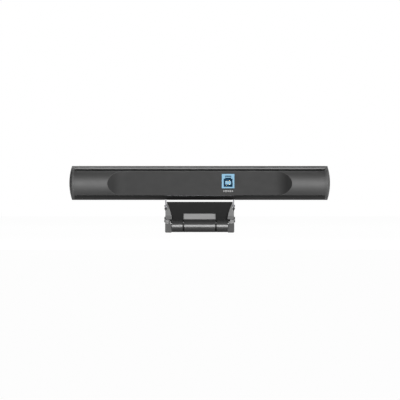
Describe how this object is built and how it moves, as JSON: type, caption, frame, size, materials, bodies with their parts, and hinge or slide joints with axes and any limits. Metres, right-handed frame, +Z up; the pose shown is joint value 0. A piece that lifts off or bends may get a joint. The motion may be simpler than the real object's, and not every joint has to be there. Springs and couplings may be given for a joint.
{
  "type": "conference webcam",
  "caption": "Long round-bar webcam with a rear socket recess, a tilting neck and a folding monitor clip with a tripod thread.",
  "frame": {"origin": "centre of the footprint box, on the surface that the feet rest on", "axes": "+X along the bar, +Z up, the lens looks along -Y and the socket faces +Y"},
  "size_m": [0.25, 0.0478, 0.0638],
  "materials": {
    "housing": "fine moulded grain",
    "cover": "fine moulded grain",
    "cap": "fine moulded grain",
    "window": "polished",
    "ring": "turned, dark anodised",
    "dark_plastic": "matt",
    "lens_glass": "coated",
    "filter_glass": "coated",
    "chip": "moulded",
    "board": "solder mask",
    "connector": "moulded",
    "pad": "soft",
    "spreader": "milled",
    "shell": "plated",
    "blue_plastic": "moulded",
    "gold": "plated",
    "rubber": "matt",
    "clear": "clear",
    "black_steel": "black oxide",
    "steel": "plain",
    "cast": "cast, powder coated dark grey",
    "insert": "turned"
  },
  "bodies": {
    "clip_base": {"base_frame": "cast", "neck_pins": "black_steel", "leg_hinge_pin": "steel", "base_pad": "rubber", "base_feet": "rubber"},
    "neck": {"neck_yoke": "cast", "tilt_screws": "black_steel", "tilt_washers": "steel"},
    "bar": {"main_housing": "housing", "rear_cover": "cover", "end_cap_left": "cap", "end_cap_right": "cap", "front_window": "window", "lens_ring": "ring", "lens_barrel": "dark_plastic", "front_lens": "lens_glass", "rear_lens": "lens_glass", "infrared_filter": "filter_glass", "lens_holder": "dark_plastic", "image_sensor": "chip", "sensor_board": "board", "board_connector": "connector", "main_board": "board", "processor": "chip", "thermal_pad": "pad", "heat_spreader": "spreader", "socket_shell": "shell", "socket_insert": "blue_plastic", "socket_contacts": "gold", "microphones": "shell", "microphone_gaskets": "rubber", "status_lamp": "clear", "light_pipe": "clear", "tilt_bracket": "black_steel", "bracket_screws": "steel", "board_screws": "steel"},
    "leg": {"leg": "cast", "leg_pad": "rubber", "tripod_insert": "insert", "leg_washers": "dark_plastic"}
  },
  "joints": [
    {"name": "neck_lean", "type": "hinge", "parent": "clip_base", "child": "neck", "pos_m": [0, 0.0076, 0.01235], "axis": [1, 0, 0], "range_deg": [-20, 45]},
    {"name": "bar_tilt", "type": "hinge", "parent": "neck", "child": "bar", "pos_m": [0, 0.0076, 0.02425], "axis": [1, 0, 0], "range_deg": [-20, 20]},
    {"name": "leg_swing", "type": "hinge", "parent": "clip_base", "child": "leg", "pos_m": [0, 0.0172, 0.00625], "axis": [1, 0, 0], "range_deg": [0, 120]}
  ]
}
